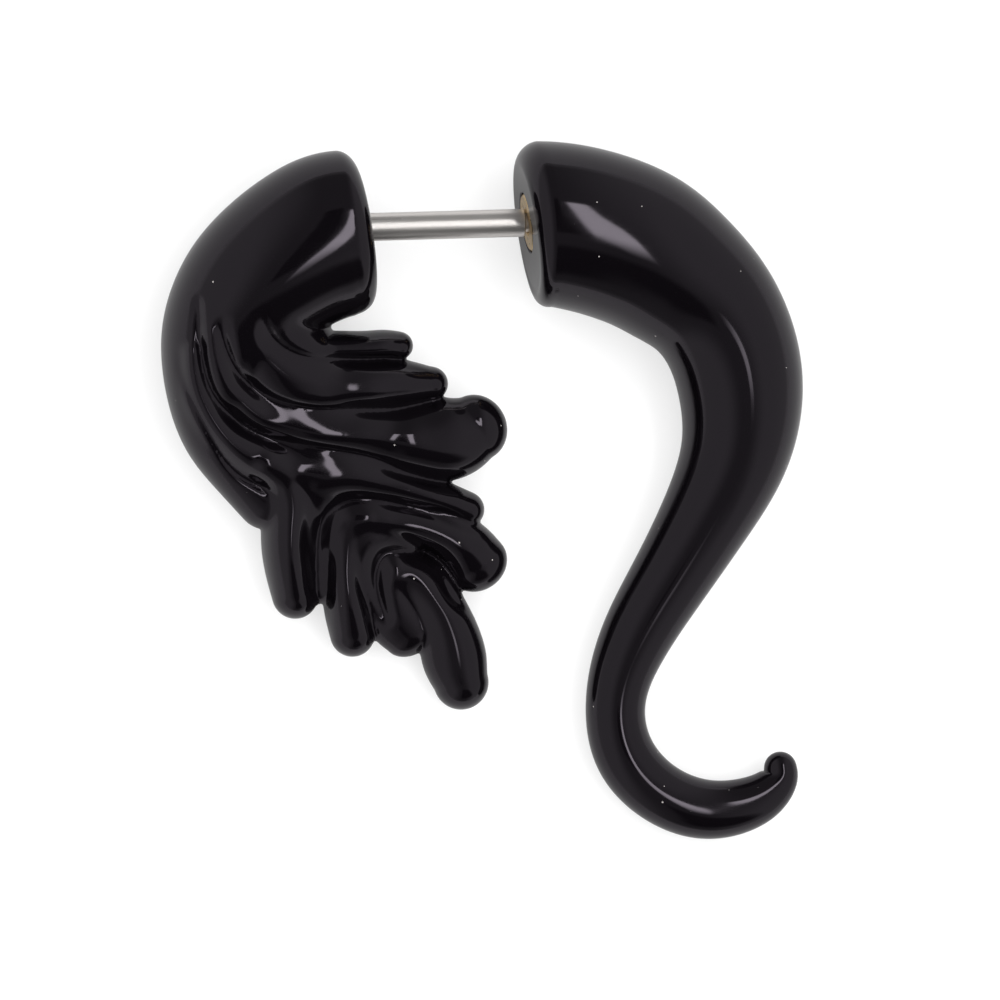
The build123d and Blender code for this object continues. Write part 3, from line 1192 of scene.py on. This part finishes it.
def make_table(colour):
    """A pale matt table under the object."""
    level = cad_box[0][2] - table_gap * MM
    mesh = bpy.data.meshes.new("table")
    signs = ((-1, -1), (1, -1), (1, 1), (-1, 1))
    corners = [(x * table_half, y * table_half, level) for x, y in signs]
    mesh.from_pydata(corners, [], [(0, 1, 2, 3)])
    table = bpy.data.objects.new("table", mesh)
    bpy.context.scene.collection.objects.link(table)
    material, tree, shader = new_material("Table")
    shader.inputs["Base Color"].default_value = (*[table_matt_share * part for part in colour], 1.0)
    shader.inputs["Roughness"].default_value = table_roughness
    shader.inputs["Emission Color"].default_value = (*colour, 1.0)
    seen = tree.nodes.new("ShaderNodeLightPath")
    lift = math_node(tree, "MULTIPLY", seen.outputs["Is Camera Ray"], table_seen_light)
    tree.links.new(lift, shader.inputs["Emission Strength"])
    mesh.materials.append(material)


def make_camera():
    """A long lens nearly straight above, leaning a little towards the carved front."""
    flat_right = Vector((cos(camera_lean), 0.0, sin(camera_lean)))
    flat_up = Vector((0.0, 1.0, 0.0))
    back = Vector((-sin(camera_lean), 0.0, cos(camera_lean)))
    right = cos(camera_roll) * flat_right - sin(camera_roll) * flat_up
    up = sin(camera_roll) * flat_right + cos(camera_roll) * flat_up
    data = bpy.data.cameras.new("camera")
    data.sensor_width = 36.0
    data.lens = data.sensor_width * camera_distance / (seen_width * MM)
    data.clip_start = 0.01
    data.clip_end = 10.0
    camera = bpy.data.objects.new("camera", data)
    bpy.context.scene.collection.objects.link(camera)
    turn = Matrix((right, up, back)).transposed().to_4x4()
    target = Vector(seen_middle) * MM
    camera.matrix_world = Matrix.Translation(target + camera_distance * back) @ turn
    bpy.context.scene.camera = camera


class EARTAPER_OT_stage(Operator):
    """Pale table, soft studio light and the camera"""

    bl_idname = "eartaper.stage"
    bl_label = "Stage"

    def execute(self, context):
        colours = context.scene.ear_taper_colours
        make_table(tuple(colours.table))
        make_world()
        make_camera()
        make_fill_light()
        context.scene.view_settings.view_transform = "Standard"
        return {"FINISHED"}


class EARTAPER_PT_panel(Panel):
    """Everything that makes the ear taper"""

    bl_label = "Ear Taper"
    bl_idname = "EARTAPER_PT_panel"
    bl_space_type = "VIEW_3D"
    bl_region_type = "UI"
    bl_category = "Ear Taper"

    def draw(self, context):
        layout = self.layout
        for group in (context.scene.ear_taper_sizes, context.scene.ear_taper_colours):
            for name in group.__annotations__:
                layout.prop(group, name)
        for maker in makers:
            layout.operator(maker.bl_idname)


makers = (
    EARTAPER_OT_front_leaf,
    EARTAPER_OT_tail_taper,
    EARTAPER_OT_post,
    EARTAPER_OT_threaded_insert,
    EARTAPER_OT_stage,
)
classes = (EarTaperSizes, EarTaperColours) + makers + (EARTAPER_PT_panel,)


def register():
    """Make the classes and their settings known."""
    for each in classes:
        bpy.utils.register_class(each)
    bpy.types.Scene.ear_taper_sizes = PointerProperty(type=EarTaperSizes)
    bpy.types.Scene.ear_taper_colours = PointerProperty(type=EarTaperColours)


def unregister():
    """Take the settings and the classes away again."""
    del bpy.types.Scene.ear_taper_colours
    del bpy.types.Scene.ear_taper_sizes
    for each in reversed(classes):
        bpy.utils.unregister_class(each)


def main():
    """Make every piece and the stage."""
    register()
    bpy.ops.eartaper.front_leaf()
    bpy.ops.eartaper.tail_taper()
    bpy.ops.eartaper.post()
    bpy.ops.eartaper.threaded_insert()
    bpy.ops.eartaper.stage()


if __name__ == "__main__":
    main()
